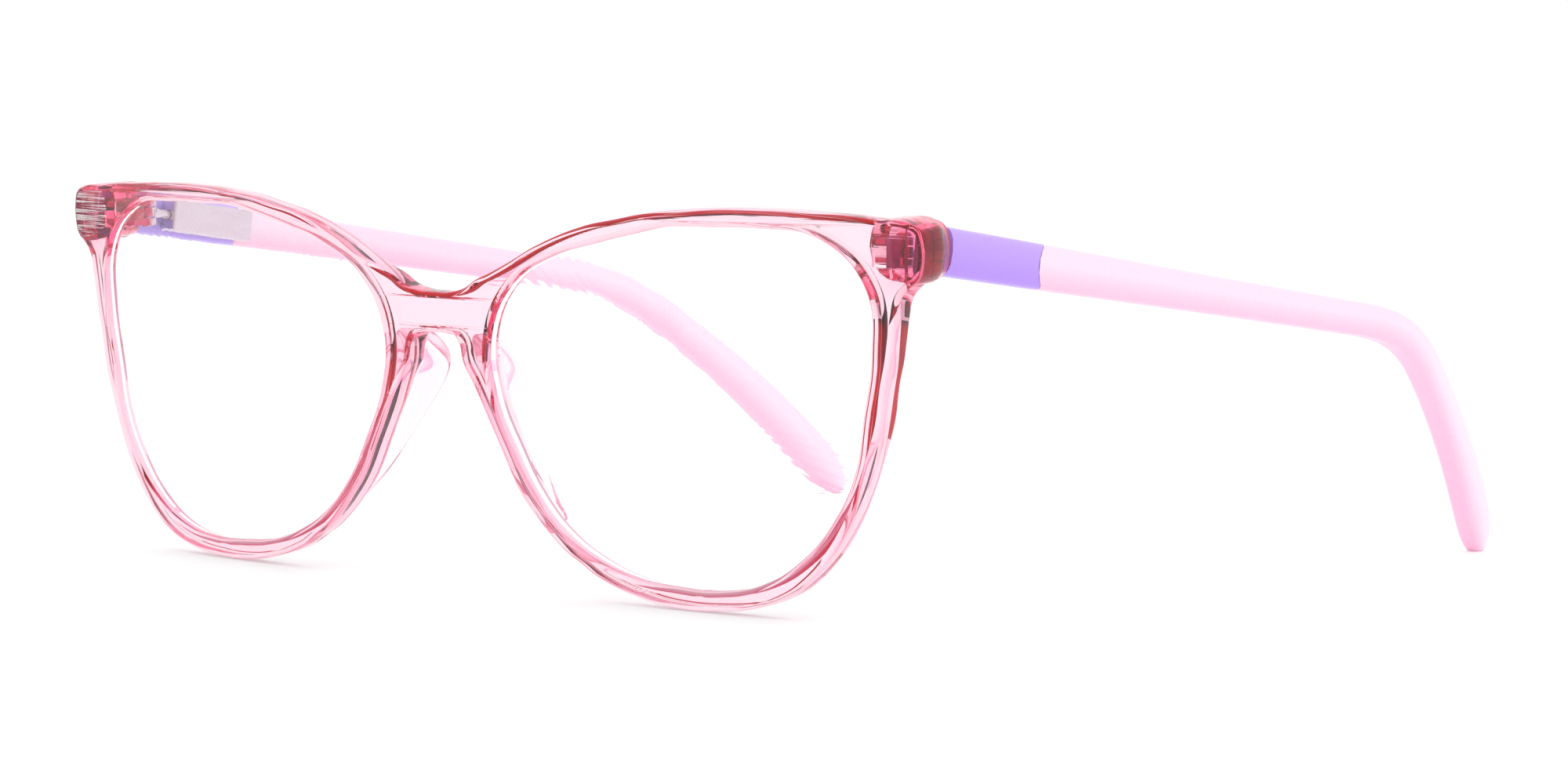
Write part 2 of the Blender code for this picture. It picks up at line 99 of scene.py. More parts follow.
# the end piece: the outline's own outer corner, closed behind the rim
END_OUTLINE = OUTLINE[29:36] + ((59.4, 21.4), (58.5, 19.6), (58.6, 17.4), (59.8, 15.6), (62.0, 14.9))


def cut_sheet(outlines, depth, fineness=12):
    """A flat sheet of this depth sawn along closed, smooth outlines, with its edges polished round."""
    curve = bpy.data.curves.new("sawn_sheet", "CURVE")
    curve.dimensions = "2D"
    curve.fill_mode = "BOTH"
    curve.extrude = depth / 2 - EDGE_ROUND
    curve.bevel_depth = EDGE_ROUND
    curve.bevel_resolution = 4
    curve.offset = -EDGE_ROUND
    curve.resolution_u = fineness
    for points in outlines:
        spline = curve.splines.new("BEZIER")
        spline.bezier_points.add(len(points) - 1)
        spline.use_cyclic_u = True
        for knot, (x, z) in zip(spline.bezier_points, points):
            knot.co = (x, z, 0)
            knot.handle_left_type = knot.handle_right_type = "AUTO"
    obj = bpy.data.objects.new("sawn_sheet", curve)
    bpy.context.scene.collection.objects.link(obj)
    mesh = bpy.data.meshes.new_from_object(obj.evaluated_get(bpy.context.evaluated_depsgraph_get()))
    bpy.data.objects.remove(obj)
    bm = bmesh.new()
    bm.from_mesh(mesh)
    bmesh.ops.remove_doubles(bm, verts=bm.verts, dist=1e-4)
    upright = Matrix(((1, 0, 0, 0), (0, 0, 1, depth / 2), (0, 1, 0, 0), (0, 0, 0, 1)))
    bmesh.ops.transform(bm, matrix=upright, verts=bm.verts)
    bmesh.ops.recalc_face_normals(bm, faces=bm.faces)
    return bm


def as_object(name, bm, scale=1.0):
    mesh = bpy.data.meshes.new(name)
    bm.to_mesh(mesh)
    bm.free()
    mesh.transform(Matrix.Scale(scale, 4))
    obj = bpy.data.objects.new(name, mesh)
    bpy.context.scene.collection.objects.link(obj)
    return obj


def join(target, tool, operation):
    """Adds or cuts away the tool's shape and leaves the tool out of the scene."""
    boolean = target.modifiers.new(tool.name, "BOOLEAN")
    boolean.object = tool
    boolean.operation = operation
    boolean.solver = "EXACT"
    mesh = bpy.data.meshes.new_from_object(target.evaluated_get(bpy.context.evaluated_depsgraph_get()))
    target.modifiers.remove(boolean)
    target.data = mesh
    bpy.data.objects.remove(tool)


def mirrored(points):
    return [(-x, z) for x, z in reversed(points)]


def wrapped(x, depth, v):
    """A point of the flat front, carried onto the wrapped and tipped one."""
    y = (x * x - LENS_X * LENS_X) / (2 * WRAP_RADIUS) + depth
    z = CENTRE_Z + y * math.sin(TILT) + v * math.cos(TILT)
    return Vector((x, y * math.cos(TILT) - v * math.sin(TILT) + SHIFT_Y, z))


def wrap(bm):
    for vert in bm.verts:
        vert.co = wrapped(*vert.co)


def rub_flat(bm):
    """Rubs whatever would stand below the table into a flat foot."""
    for vert in bm.verts:
        vert.co.z = max(vert.co.z, 0.0)


def box(low, high):
    bm = bmesh.new()
    size = Vector(high) - Vector(low)
    place = Matrix.Translation((Vector(high) + Vector(low)) / 2) @ Matrix.Diagonal((*size, 1))
    bmesh.ops.create_cube(bm, size=1, matrix=place)
    return bm


def cut_away(obj, side, low, high):
    """Mills a box out of one side of the placed front."""
    near, far = sorted((side * low[0], side * high[0]))
    hole = box((near, low[1] + SHIFT_Y, low[2]), (far, high[1] + SHIFT_Y, high[2]))
    join(obj, as_object("cutter", hole), "DIFFERENCE")


def ease(value):
    value = min(1.0, max(0.0, value))
    return value * value * (3 - 2 * value)


aperture_left = [(LENS_X + u, v) for u, v in APERTURE]
whole_outline = OUTLINE + tuple(mirrored(OUTLINE[1:-1]))
openings = [aperture_left, mirrored(aperture_left)]
front = as_object("acetate_front", cut_sheet([whole_outline, *openings], SHEET))
for end in (END_OUTLINE, tuple(mirrored(END_OUTLINE))):
    join(front, as_object("end_piece", cut_sheet([end], END_DEPTH)), "UNION")

bm = bmesh.new()
bm.from_mesh(front.data)
bmesh.ops.remove_doubles(bm, verts=bm.verts, dist=1e-3)
for depth in TAPER_CUTS:
    geometry = bm.verts[:] + bm.edges[:] + bm.faces[:]
    bmesh.ops.bisect_plane(bm, geom=geometry, plane_co=(0, depth, 0), plane_no=(0, 1, 0), dist=1e-4)
for vert in bm.verts:
    x, depth, v = vert.co
    if abs(x) > TAPER_X and depth > SHEET:
        deep = ease((depth - SHEET) / TAPER_DEPTH)
        outer = ease((abs(x) - TAPER_X) / TAPER_WIDTH)
        vert.co.x -= math.copysign(END_X - SEAM_X, x) * deep * outer
wrap(bm)
rub_flat(bm)
bmesh.ops.recalc_face_normals(bm, faces=bm.faces)
bm.to_mesh(front.data)
bm.free()
for side in (-1, 1):
    cut_away(front, side, *HINGE_NOTCH)
    cut_away(front, side, *HINGE_POCKET)
front.data.transform(Matrix.Scale(MM, 4))


WAVE_SCALE = 150.0
WAVE_HEIGHT = 0.00005
ACETATE_INDEX = 1.49
FACE_COLOUR = (1.0, 0.985, 0.99, 1)
END_SHADE_X = (0.0575, 0.0605)
END_SHADE_Y = (-0.0680, -0.0655)
END_SHADE_Z = (0.0350, 0.0380)


def named_material(name):
    material = bpy.data.materials.new(name)
    material.use_nodes = True
    return material, material.node_tree, material.node_tree.nodes["Principled BSDF"]


def node(tree, kind, inputs=(), **settings):
    made = tree.nodes.new(kind)
    for key, value in settings.items():
        setattr(made, key, value)
    for key, value in dict(inputs).items():
        if isinstance(value, bpy.types.NodeSocket):
            tree.links.new(value, made.inputs[key])
        else:
            made.inputs[key].default_value = value
    return made


def ramp(tree, value, start, end, low=0.0, high=1.0, **settings):
    """Carries a value that runs from start to end onto low to high."""
    limits = {"Value": value, "From Min": start, "From Max": end, "To Min": low, "To Max": high}
    return node(tree, "ShaderNodeMapRange", limits, **settings).outputs["Result"]


def blend(tree, share, first, second):
    """Mixes two colours, either of them a socket or a value."""
    return node(tree, "ShaderNodeMix", {0: share, 6: first, 7: second}, data_type="RGBA").outputs[2]


def surface_wear_group():
    """Fine polishing haze and faint waviness for the plastics: a roughness and a bump height."""
    group = bpy.data.node_groups.new("polished_surface", "ShaderNodeTree")
    group.interface.new_socket(name="Haze Scale", in_out="INPUT", socket_type="NodeSocketFloat")
    group.interface.new_socket(name="Low", in_out="INPUT", socket_type="NodeSocketFloat")
    group.interface.new_socket(name="High", in_out="INPUT", socket_type="NodeSocketFloat")
    group.interface.new_socket(name="Roughness", in_out="OUTPUT", socket_type="NodeSocketFloat")
    group.interface.new_socket(name="Height", in_out="OUTPUT", socket_type="NodeSocketFloat")
    start = group.nodes.new("NodeGroupInput")
    end = group.nodes.new("NodeGroupOutput")
    place = group.nodes.new("ShaderNodeTexCoord").outputs["Object"]
    size = start.outputs["Haze Scale"]
    haze = node(group, "ShaderNodeTexNoise", {"Vector": place, "Scale": size, "Detail": 4})
    rough = ramp(group, haze.outputs["Fac"], 0.35, 0.65, start.outputs["Low"], start.outputs["High"])
    wave = node(group, "ShaderNodeTexNoise", {"Vector": place, "Scale": WAVE_SCALE, "Detail": 1})
    group.links.new(rough, end.inputs["Roughness"])
    group.links.new(wave.outputs["Fac"], end.inputs["Height"])
    return group


polished_surface = surface_wear_group()


def polish(tree, shader, haze, low, high, bump):
    """Gives a plastic its haze and the faint waviness of hand polishing."""
    worn = node(tree, "ShaderNodeGroup", node_tree=polished_surface)
    worn.inputs["Haze Scale"].default_value = haze
    worn.inputs["Low"].default_value = low
    worn.inputs["High"].default_value = high
    tree.links.new(worn.outputs["Roughness"], shader.inputs["Roughness"])
    wave = {"Strength": bump, "Distance": WAVE_HEIGHT, "Height": worn.outputs["Height"]}
    bumped = node(tree, "ShaderNodeBump", wave)
    tree.links.new(bumped.outputs["Normal"], shader.inputs["Normal"])


def clear_acetate(name, colour, density, edge_shade_colour, end_shade_colour):
    """Clear acetate dyed through, with painted shade: deeper colour on walls facing sideways and on the end
    blocks.
    """
    material, tree, shader = named_material(name)
    # Painted shade: walls turned away from the front and back get the edge shade colour, standing in for
    # the deeper colour light takes along them.
    facing = tree.nodes.new("ShaderNodeNewGeometry").outputs["Normal"]
    square = node(tree, "ShaderNodeVectorMath", {0: facing, 1: (0.0, 1.0, 0.0)}, operation="DOT_PRODUCT")
    face_on = node(tree, "ShaderNodeMath", {0: square.outputs["Value"]}, operation="ABSOLUTE")
    edge = ramp(tree, face_on.outputs[0], 0.35, 0.9, 1.0, 0.0)
    # Painted shade: the end block behind each top corner gets the end shade colour, a deep red standing in
    # for light passing through the thick block.
    place = tree.nodes.new("ShaderNodeTexCoord").outputs["Object"]
    apart = node(tree, "ShaderNodeSeparateXYZ", {"Vector": place})
    side = node(tree, "ShaderNodeMath", {0: apart.outputs["X"]}, operation="ABSOLUTE")
    built_up = ramp(tree, side.outputs[0], *END_SHADE_X)
    behind = ramp(tree, apart.outputs["Y"], *END_SHADE_Y)
    high = ramp(tree, apart.outputs["Z"], *END_SHADE_Z)
    end_shade_mask = node(tree, "ShaderNodeMath", {0: built_up, 1: behind}, operation="MULTIPLY")
    end_shade_mask = node(tree, "ShaderNodeMath", {0: end_shade_mask.outputs[0], 1: high}, operation="MULTIPLY")
    with_edge_shade = blend(tree, edge, FACE_COLOUR, (*edge_shade_colour, 1))
    with_end_shade = blend(tree, end_shade_mask.outputs[0], with_edge_shade, (*end_shade_colour, 1))
    tree.links.new(with_end_shade, shader.inputs["Base Color"])
    shader.inputs["Transmission Weight"].default_value = 1
    shader.inputs["IOR"].default_value = ACETATE_INDEX
    polish(tree, shader, haze=400, low=0.01, high=0.03, bump=0.02)
    tint = node(tree, "ShaderNodeVolumeAbsorption", {"Color": (*colour, 1), "Density": density})
    tree.links.new(tint.outputs["Volume"], tree.nodes["Material Output"].inputs["Volume"])
    return material


# The pink front's painted shade: deeper pink on its side walls and deep red on its end blocks.
pink_clear = clear_acetate(
    "clear_pink_acetate", colour=(0.98, 0.12, 0.42), density=105.0, edge_shade_colour=(1.0, 0.72, 0.80),
    end_shade_colour=(0.97, 0.16, 0.34),
)
front.data.materials.clear()
front.data.materials.append(pink_clear)
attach(front, "front")
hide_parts("front_frame")
bpy.context.scene.cycles.max_bounces = 32
bpy.context.scene.cycles.transmission_bounces = 32
bpy.context.scene.cycles.glossy_bounces = 16

# ---------------------------------------------------------------------------------------------------
# Two nose pads of the same acetate, built up behind the nose side of each rim and bonded on. Each is a
# long crescent, deepest a little above its middle and thinned away at both ends.

PAD_DEPTH = 6.3

# height, and how far the pad stands behind the rim there
PAD_STATIONS = (
    (7.0, 0.5), (5.2, 3.4), (3.0, 5.9), (0.5, PAD_DEPTH), (-2.5, 5.4), (-5.5, 4.1), (-8.5, 2.8),
    (-11.5, 1.5), (-14.4, 0.5),
)
PAD_INNER = (
    (-25.75, 7), (-25.9, 3), (-25.2, 0), (-23.9, -2.5), (-22.5, -5.5), (-20.9, -8.5), (-18.9, -11.5),
    (-16, -14.4),
)
PAD_GAP = 0.06
PAD_NOSE_INSET = 0.14
PAD_LENS_INSET = 0.08
PAD_LEAN = 0.3
PAD_BEVEL = 0.75
PAD_CREASE = 0.9


def crossing(pairs, v):
    """Where a run of (u, v) points, listed downward, passes the height v."""
    for (u0, v0), (u1, v1) in zip(pairs, pairs[1:]):
        if v1 <= v <= v0:
            return u0 + (u1 - u0) * (v0 - v) / (v0 - v1)
    return pairs[0][0] if v > pairs[0][1] else pairs[-1][0]


def pad_ring(v, rise):
    """The pad's section at one height: flat against the rim, rounded and leaning to the nose behind."""
    nose_edge = crossing([(x - LENS_X, z) for x, z in OUTLINE[2:12]], v)
    lens_edge = crossing(PAD_INNER, v)
    wide = lens_edge - nose_edge
    low = LENS_X + nose_edge + PAD_NOSE_INSET * wide
    high = LENS_X + lens_edge - PAD_LENS_INSET * wide
    base = SHEET + PAD_GAP
    back = low - PAD_LEAN * rise / PAD_DEPTH
    bevel = min(PAD_BEVEL, rise * 0.18)
    return (
        (low, base, v),
        (back, base + 0.6 * rise, v),
        (back + 0.2 * bevel, base + rise - 0.25 * bevel, v),
        (back + 0.8 * bevel, base + rise, v),
        (high - 0.9 * bevel, base + 0.9 * rise, v),
        (high - 0.3 * bevel, base + 0.6 * rise, v),
        (high, base, v),
    )


def nose_pad(side, name):
    bm = bmesh.new()
    crease = bm.edges.layers.float.new("crease_edge")
    ring = [bm.verts.new(point) for point in pad_ring(*PAD_STATIONS[0])]
    first = bm.faces.new(ring)
    edges = first.edges[:]
    for station in PAD_STATIONS[1:]:
        grown = bmesh.ops.extrude_edge_only(bm, edges=edges)["geom"]
        edges = [item for item in grown if isinstance(item, bmesh.types.BMEdge)]
        verts = [item for item in grown if isinstance(item, bmesh.types.BMVert)]
        for vert, point in zip(verts, pad_ring(*station)):
            vert.co = point
    bmesh.ops.holes_fill(bm, edges=edges, sides=0)
    for edge in bm.edges:
        if all(abs(vert.co.y - SHEET - PAD_GAP) < 1e-6 for vert in edge.verts):
            edge[crease] = PAD_CREASE
    wrap(bm)
    bmesh.ops.scale(bm, vec=(side, 1, 1), verts=bm.verts)
    bmesh.ops.recalc_face_normals(bm, faces=bm.faces)
    pad = as_object("nose_pad_shape_" + name, bm, MM)
    for face in pad.data.polygons:
        face.use_smooth = True
    rounded = pad.modifiers.new("rounded", "SUBSURF")
    rounded.levels = rounded.render_levels = 3
    pad.data.materials.append(pink_pad)
    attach(pad, "front")
    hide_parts("nose_pad_" + name)


# The pads carry only a faint painted edge shade.
pink_pad = clear_acetate(
    "pale_pad_acetate", colour=(0.97, 0.3, 0.55), density=40.0, edge_shade_colour=(1.0, 0.95, 0.98),
    end_shade_colour=(1.0, 0.95, 0.98),
)
nose_pad(1, "left")
nose_pad(-1, "right")

# ---------------------------------------------------------------------------------------------------
# The lenses: plano, moulded clear plastic with a filter coating. Both faces are domed, and the edge is
# ground straight to stop just short of the opening's wall.

LENS_CLEARANCE = 0.04
LENS_HALF = 0.75
LENS_DOME = 1.0
LENS_INDEX = 1.5
DOME_STEPS = 9
RING_GAP = 0.05


def smooth_finish(obj, angle):
    """Smooth shading that keeps the true edges, with normals led by the large faces."""
    for face in obj.data.polygons:
        face.use_smooth = True
    bm = bmesh.new()
    bm.from_mesh(obj.data)
    for edge in bm.edges:
        if edge.is_manifold and edge.calc_face_angle() > math.radians(angle):
            edge.smooth = False
    bm.to_mesh(obj.data)
    bm.free()
    weighted = obj.modifiers.new("polish", "WEIGHTED_NORMAL")
    weighted.keep_sharp = True


def around_lens(place):
    return math.atan2(place.z, place.x - LENS_X)


def lens_shape(side, name):
    """Starts from the opening's outline and draws it in, ring by ring, over the dome of each face."""
    curve_bm = cut_sheet([aperture_left], 2 * EDGE_ROUND + 1e-3, 5)
    bm = bmesh.new()
    rim = [vert.co.copy() for vert in curve_bm.verts if abs(vert.co.y - EDGE_ROUND) < RING_GAP]
    rim.sort(key=around_lens)
    curve_bm.free()
    middle_ring = []
    for place in rim:
        if not middle_ring or (place - middle_ring[-1]).length > RING_GAP:
            middle_ring.append(Vector((place.x, SHEET / 2, place.z)))
    centre = Vector((LENS_X, SHEET / 2, 0))
    verts = [bm.verts.new(place) for place in middle_ring]
    edges = [bm.edges.new((verts[i - 1], verts[i])) for i in range(len(verts))]
    for facing in (-1, 1):
        current = edges
        for step in range(DOME_STEPS):
            share = 1 - step / DOME_STEPS
            grown = bmesh.ops.extrude_edge_only(bm, edges=current)["geom"]
            current = [item for item in grown if isinstance(item, bmesh.types.BMEdge)]
            moved = [item for item in grown if isinstance(item, bmesh.types.BMVert)]
            for vert, place in zip(moved, middle_ring):
                spoke = place - centre
                vert.co = centre + spoke * share * (1 - LENS_CLEARANCE / spoke.length)
                vert.co.y += facing * LENS_HALF - LENS_DOME * (1 - share * share)
        bmesh.ops.holes_fill(bm, edges=current, sides=0)
    for vert, place in zip(verts, middle_ring):
        spoke = place - centre
        vert.co = centre + spoke * (1 - LENS_CLEARANCE / spoke.length)
    wrap(bm)
    bmesh.ops.scale(bm, vec=(side, 1, 1), verts=bm.verts)
    bmesh.ops.recalc_face_normals(bm, faces=bm.faces)
    lens = as_object("lens_shape_" + name, bm, MM)
    smooth_finish(lens, 25)
    lens.data.materials.append(lens_clear)
    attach(lens, "front")
    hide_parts("lens_" + name)


def coated_lens():
    material, tree, shader = named_material("coated_lens")
    shader.inputs["Base Color"].default_value = (1, 1, 1, 1)
    shader.inputs["Transmission Weight"].default_value = 1
    shader.inputs["IOR"].default_value = LENS_INDEX
    polish(tree, shader, haze=60, low=0.0, high=0.006, bump=0.01)
    return material


lens_clear = coated_lens()
lens_shape(1, "left")
lens_shape(-1, "right")

# ---------------------------------------------------------------------------------------------------
# The hinges: stainless pressings and turnings, satin from tumbling. Knuckles, screw, slider, collar,
# housing and core wire keep their CAD shapes. Where the front leaves sit inside the acetate, the steel has
# painted shade: deep red, standing in for light tinted by the pink acetate round it.

GRAIN_SCALE = (900.0, 250.0, 900.0)
STEEL_DARK = (0.62, 0.50, 0.58, 1)
STEEL_LIGHT = (0.72, 0.60, 0.68, 1)
ANCHOR_SHADE_RED = (0.62, 0.03, 0.12, 1)
ANCHOR_SHADE_Y = (-0.0630, -0.0622)


def satin_steel():
    material, tree, shader = named_material("satin_steel")
    place = tree.nodes.new("ShaderNodeTexCoord").outputs["Object"]
    drawn = node(tree, "ShaderNodeMapping", {"Vector": place, "Scale": GRAIN_SCALE})
    grain = node(tree, "ShaderNodeTexNoise", {"Vector": drawn.outputs["Vector"], "Scale": 1.0, "Detail": 3})
    tone = node(tree, "ShaderNodeValToRGB", {"Fac": grain.outputs["Fac"]})
    tone.color_ramp.elements[0].color = STEEL_DARK
    tone.color_ramp.elements[1].color = STEEL_LIGHT
    rough = ramp(tree, grain.outputs["Fac"], 0.0, 1.0, 0.22, 0.32)
    scratch = {"Strength": 0.05, "Distance": 1e-5, "Height": grain.outputs["Fac"]}
    bumped = node(tree, "ShaderNodeBump", scratch)
    # Painted shade: steel forward of the knuckles, inside the acetate, turns deep red, standing in for
    # light tinted by the acetate.
    depth = node(tree, "ShaderNodeSeparateXYZ", {"Vector": place}).outputs["Y"]
    anchor_shade = ramp(tree, depth, *ANCHOR_SHADE_Y, 1.0, 0.0)
    colour = blend(tree, anchor_shade, tone.outputs["Color"], ANCHOR_SHADE_RED)
    tree.links.new(colour, shader.inputs["Base Color"])
    tree.links.new(rough, shader.inputs["Roughness"])
    tree.links.new(bumped.outputs["Normal"], shader.inputs["Normal"])
    shader.inputs["Metallic"].default_value = 0.95
    return material


steel = satin_steel()
for kind in ("front_hinge", "hinge_screw", "spring_slider", "slider_nut", "spring_housing", "core_wire"):
    for name in ("left", "right"):
        piece = frame["nodes"][kind + "_" + name]
        piece.data.materials.clear()
        piece.data.materials.append(steel)

# Each hinge spring is hard-drawn wire wound round the slider's shaft, between the housing's front wall and
# the collar. Opening the temple past its rest draws the collar in and closes the coils.

SPRING_TURNS = 8
SPRING_RADIUS = 0.8
SPRING_WIRE = 0.12
WIRE_SIDES = 8
STEPS_PER_TURN = 24
SPRING_START = 5.35
SPRING_END = 13.25


def hinge_spring(name):
    slide = next(joint for joint in frame["joints"] if joint["name"] == "spring_travel_" + name)
    fold = next(joint for joint in frame["joints"] if joint["name"] == "fold_" + name)
    along = Vector(slide["axis"]).normalized()
    pivot = Vector(fold["pos_m"]) / MM
    upward = Vector((0, 0, 1))
    upward = (upward - along * upward.dot(along)).normalized()
    start = pivot + along * (SPRING_START + SPRING_WIRE)
    lift = along * (SPRING_END - SPRING_START - 2 * SPRING_WIRE)
    steps = STEPS_PER_TURN * SPRING_TURNS
    turn = Matrix((upward, along, upward.cross(along))).transposed().to_4x4()
    bm = bmesh.new()
    place = Matrix.Translation(start + upward * SPRING_RADIUS) @ turn
    ring = bmesh.ops.create_circle(bm, segments=WIRE_SIDES, radius=SPRING_WIRE, matrix=place)
    first = bm.faces.new(ring["verts"])
    last = bmesh.ops.spin(
        bm, geom=first.edges[:], cent=start, axis=along, dvec=lift / steps,
        angle=2 * math.pi * SPRING_TURNS, steps=steps, use_merge=False, use_duplicate=False,
    )["geom_last"]
    end = [item for item in last if isinstance(item, bmesh.types.BMEdge)]
    bmesh.ops.holes_fill(bm, edges=end, sides=0)
    bmesh.ops.remove_doubles(bm, verts=bm.verts, dist=1e-5)
    bmesh.ops.recalc_face_normals(bm, faces=bm.faces)
    spring = as_object("wound_spring_" + name, bm, MM)
    for face in spring.data.polygons:
        face.use_smooth = True
    spring.data.materials.append(steel)
    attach(spring, "temple_" + name)
    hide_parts("hinge_spring_" + name)
    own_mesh(spring)


hinge_spring("left")
hinge_spring("right")

# ---------------------------------------------------------------------------------------------------
# The temples: solid-coloured acetate, lilac next to the hinge and milky pale pink behind it, cemented
# on a curved joint, milled as one blade, polished, then bent down behind the ear and toed in.

PIVOT = Vector((59.7, 10.2, 41.4))
TEMPLE_X = 62.9
SEAM_Y = 10.35
SEAM_BOW = 0.5
SEAM_START = 0.2
TOE = math.radians(1.2)
SLOPE = math.radians(5.95)
STRAIGHT = 84.6
BEND_LENGTH = 25.4
BEND_DOWN = math.radians(26.7)
BEND_IN = math.radians(13.3)
EAR_LENGTH = 38.95
EAR_DOWN = math.radians(14.3)
JOINT_S = 16.3
HORN = 1.5
HORN_POWER = 2.5
JOINT_HALF_GAP = 0.05
PATH_STEP = 0.1
SECTION_POINTS = 48
SECTION_POWER = 3.6

# distance behind the seam, half height, half thickness
BLADE = (
    (0, 2.72, 1.9), (17.8, 2.6, 1.9), (52, 2.28, 1.9), (84.6, 2.12, 1.85), (110, 2.35, 1.7),
    (124, 2.75, 1.55), (136.5, 3.1, 1.5), (141.5, 3.05, 1.5), (145, 2.7, 1.4), (147.4, 2.05, 1.15),
    (148.55, 1.3, 0.85), (148.95, 0.7, 0.5),
)


def blade_path():
    """Centre line of the left temple, each point with its directions along, outward and up."""
    where = Vector((TEMPLE_X, SEAM_Y + SHIFT_Y, PIVOT.z))
    found = []
    for i in range(int((STRAIGHT + BEND_LENGTH + EAR_LENGTH) / PATH_STEP) + 3):
        s = i * PATH_STEP
        turn = ease((s - STRAIGHT) / BEND_LENGTH)
        ear = min(1.0, max(0.0, (s - STRAIGHT - BEND_LENGTH) / EAR_LENGTH))
        down = SLOPE + BEND_DOWN * turn + EAR_DOWN * ear
        out = TOE - BEND_IN * turn
        level_part = math.cos(out)
        along = Vector((math.sin(out), level_part * math.cos(down), -level_part * math.sin(down)))
        up = Vector((0, math.sin(down), math.cos(down)))
        found.append((where.copy(), along, along.cross(up).normalized(), up))
        where = where + along * PATH_STEP
    return found


PATH = blade_path()


def blade_point(s, out, up):
    where, along, outward, upward = PATH[max(0, min(len(PATH) - 1, int(round(s / PATH_STEP))))]
    return where + along * min(0.0, s) + outward * out + upward * up


def blade_size(s):
    """Half height and half thickness of the blade, run smoothly through the listed stations."""
    count = len(BLADE)
    for i in range(count - 1):
        s0, s1 = BLADE[i][0], BLADE[i + 1][0]
        if s <= s1 or i == count - 2:
            t = min(1.0, max(0.0, (s - s0) / (s1 - s0)))
            sizes = []
            for k in (1, 2):
                a, b = BLADE[i][k], BLADE[i + 1][k]
                before = BLADE[max(0, i - 1)]
                after = BLADE[min(count - 1, i + 2)]
                ma = (b - before[k]) / (s1 - before[0]) * (s1 - s0) if i else b - a
                mb = (after[k] - a) / (after[0] - s0) * (s1 - s0) if i < count - 2 else b - a
                h = (2 * t**3 - 3 * t**2 + 1) * a + (t**3 - 2 * t**2 + t) * ma
                sizes.append(h + (3 * t**2 - 2 * t**3) * b + (t**3 - t**2) * mb)
            return sizes


def sweep_blade(side, name, stations):
    """Draws one rounded section out along the blade. Each station gives s for a relative height."""
    bm = bmesh.new()
    rise = bm.verts.layers.float.new("rise")
    reach = bm.verts.layers.float.new("reach")
    ring = bmesh.ops.create_circle(bm, segments=SECTION_POINTS, radius=1)["verts"]
    shares = []
    for vert in ring:
        x, z = vert.co.x, vert.co.y
        across = math.copysign(abs(x) ** (2 / SECTION_POWER), x)
        up = math.copysign(abs(z) ** (2 / SECTION_POWER), z)
        vert[rise], vert[reach] = up, across
        shares.append((across, up))
    edges = list({edge for vert in ring for edge in vert.link_edges})
    for number, station in enumerate(stations):
        if number:
            grown = bmesh.ops.extrude_edge_only(bm, edges=edges)["geom"]
            edges = [item for item in grown if isinstance(item, bmesh.types.BMEdge)]
            ring = [item for item in grown if isinstance(item, bmesh.types.BMVert)]
        for vert in ring:
            s = station(vert[rise])
            half, thick = blade_size(max(0.0, s))
            vert.co = blade_point(s, vert[reach] * thick, vert[rise] * half)
        if not number:
            first = list(edges)
    bmesh.ops.holes_fill(bm, edges=first, sides=0)
    bmesh.ops.holes_fill(bm, edges=edges, sides=0)
    bmesh.ops.scale(bm, vec=(side, 1, 1), verts=bm.verts)
    rub_flat(bm)
    bmesh.ops.recalc_face_normals(bm, faces=bm.faces)
    blade = as_object(name, bm, MM)
    smooth_finish(blade, 50)
    return blade


def level(s):
    return lambda up: s


def seam_line(up):
    return SEAM_START - SEAM_BOW * up * up


def joint_line(gap):
    return lambda up: JOINT_S + HORN * abs(up) ** HORN_POWER + gap


def spaced(start, step, count):
    return [start + step * i for i in range(count)]


def blade_plastic(name, light, deep, shade_start, shade_end):
    """Solid acetate with painted shade: its colour deepens towards the lower edge."""
    material, tree, shader = named_material(name)
    height = node(tree, "ShaderNodeAttribute", attribute_name="rise").outputs["Fac"]
    place = tree.nodes.new("ShaderNodeTexCoord").outputs["Object"]
    swirl = node(tree, "ShaderNodeTexNoise", {"Vector": place, "Scale": 60.0, "Detail": 3})
    drift = node(tree, "ShaderNodeMath", {0: swirl.outputs["Fac"], 1: 0.3}, operation="MULTIPLY_ADD")
    drift.inputs[2].default_value = -0.15
    moved = node(tree, "ShaderNodeMath", {0: height, 1: drift.outputs[0]}, operation="ADD")
    # Painted shade: the lower part of the blade gets the deep colour, as though shaded from above; the
    # swirl moves its boundary at random.
    share = ramp(tree, moved.outputs[0], shade_end, shade_start, 1.0, 0.0)
    tree.links.new(blend(tree, share, (*light, 1), (*deep, 1)), shader.inputs["Base Color"])
    polish(tree, shader, haze=500, low=0.24, high=0.32, bump=0.1)
    return material


lilac = blade_plastic(
    "lilac_acetate", light=(0.56, 0.37, 0.98), deep=(0.44, 0.25, 0.86), shade_start=0.9, shade_end=-0.9
)
rose = blade_plastic(
    "pale_pink_acetate", light=(0.96, 0.74, 0.89), deep=(0.95, 0.50, 0.70), shade_start=0.2, shade_end=-1.0
)
lilac_stops = spaced(1.5, 1.2, 12)
rear_stops = spaced(20, 2.0, 33) + spaced(85, 1.2, 23) + spaced(112.5, 2, 13) + spaced(137.5, 0.7, 11)
rear_stops += [145.6, 146.2, 146.8, 147.4, 147.8, 148.2, 148.55, 148.8, 148.95]
for side, name in ((1, "left"), (-1, "right")):
    stations = [seam_line] + [level(s) for s in lilac_stops] + [joint_line(-JOINT_HALF_GAP)]
    blade = sweep_blade(side, "lilac_section_" + name, stations)
    blade.data.materials.append(lilac)
    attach(blade, "temple_" + name)
    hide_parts("temple_front_" + name)
    stations = [joint_line(JOINT_HALF_GAP)] + [level(s) for s in rear_stops]
    blade = sweep_blade(side, "pink_section_" + name, stations)
    blade.data.materials.append(rose)
    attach(blade, "temple_" + name)
    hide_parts("temple_rear_" + name)

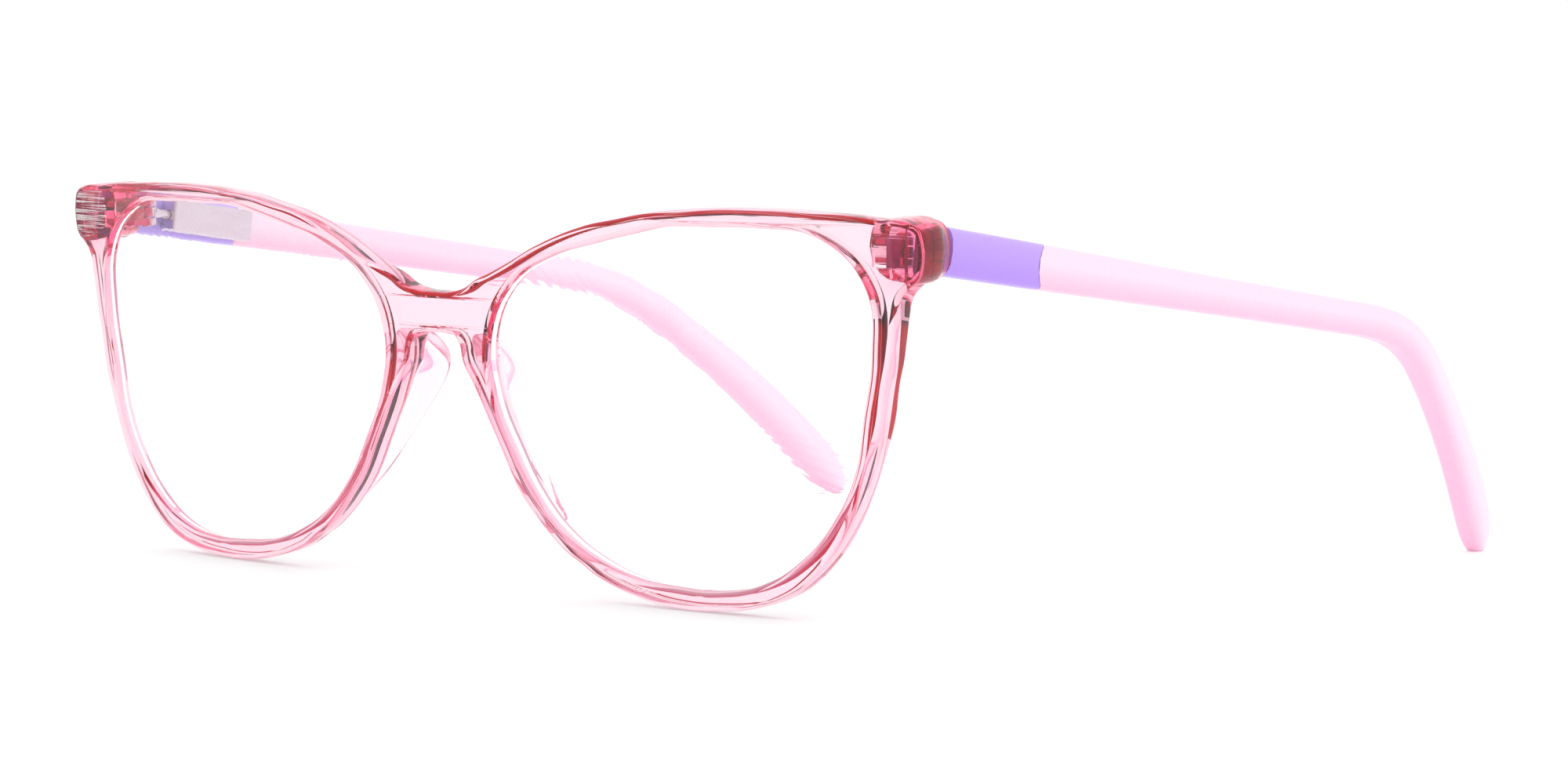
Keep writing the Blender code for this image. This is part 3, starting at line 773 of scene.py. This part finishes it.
# ---------------------------------------------------------------------------------------------------
# The studio: a pale table under broad soft light, bright behind the glasses and dimmer behind the viewer,
# so that the clear acetate shows its edges.

VIEW_TURN = math.radians(38.15)
VIEW_DROP = math.radians(3.47)
VIEW_ROLL = math.radians(1.57)
EYE = Vector((0.35931, -0.46614, 0.05586))
FOCAL_LENGTH = 105.2
TABLE_GREY = (0.86, 0.86, 0.86, 1)
TABLE_DROP = 0.00005
BRIGHT_WALL = (-0.62, 0.76, 0.2)
WALL_STRENGTH = 1.07


def table():
    bm = bmesh.new()
    bmesh.ops.create_grid(bm, x_segments=1, y_segments=1, size=20)
    obj = as_object("table", bm)
    material, tree, shader = named_material("pale_table")
    shader.inputs["Base Color"].default_value = TABLE_GREY
    shader.inputs["Roughness"].default_value = 0.7
    shader.inputs["Specular IOR Level"].default_value = 0.1
    shader.inputs["Emission Color"].default_value = (1, 1, 1, 1)
    shader.inputs["Emission Strength"].default_value = 0.25
    obj.data.materials.append(material)
    obj.location.z = -TABLE_DROP


def studio_light():
    world = bpy.data.worlds.new("studio")
    bpy.context.scene.world = world
    world.use_nodes = True
    tree = world.node_tree
    place = tree.nodes.new("ShaderNodeTexCoord").outputs["Generated"]
    facing = node(tree, "ShaderNodeVectorMath", {0: place, 1: BRIGHT_WALL}, operation="DOT_PRODUCT")
    share = ramp(
        tree, facing.outputs["Value"], -0.9, -0.3, 0.65, 1.0, interpolation_type="SMOOTHSTEP"
    )
    tree.links.new(share, tree.nodes["Background"].inputs["Color"])
    tree.nodes["Background"].inputs["Strength"].default_value = WALL_STRENGTH


def lamp(name, place, aim, size, power):
    data = bpy.data.lights.new(name, "AREA")
    data.shape = "RECTANGLE"
    data.size, data.size_y = size
    data.energy = power
    obj = bpy.data.objects.new(name, data)
    bpy.context.scene.collection.objects.link(obj)
    obj.location = place
    obj.rotation_euler = (Vector(aim) - Vector(place)).to_track_quat("-Z", "Y").to_euler()


def eye():
    data = bpy.data.cameras.new("eye")
    data.sensor_width = 36
    data.lens = FOCAL_LENGTH
    data.clip_start = 0.01
    camera = bpy.data.objects.new("eye", data)
    bpy.context.scene.collection.objects.link(camera)
    level_part = math.cos(VIEW_DROP)
    ahead = Vector(
        (-math.sin(VIEW_TURN) * level_part, math.cos(VIEW_TURN) * level_part, -math.sin(VIEW_DROP))
    )
    right = Vector((math.cos(VIEW_TURN), math.sin(VIEW_TURN), 0))
    up = right.cross(ahead)
    rolled_right = right * math.cos(VIEW_ROLL) + up * math.sin(VIEW_ROLL)
    rolled_up = up * math.cos(VIEW_ROLL) - right * math.sin(VIEW_ROLL)
    turn = Matrix((rolled_right, rolled_up, -ahead)).transposed().to_4x4()
    camera.matrix_world = Matrix.Translation(EYE) @ turn
    bpy.context.scene.camera = camera


table()
studio_light()
lamp("top_box", place=(0.1, -0.1, 0.9), aim=(0, 0, 0), size=(1.2, 1.2), power=0.6)
lamp("side_box", place=(0.9, -0.5, 0.5), aim=(0, 0, 0.02), size=(0.5, 0.8), power=0.5)
eye()
bpy.context.scene.view_settings.view_transform = "Standard"
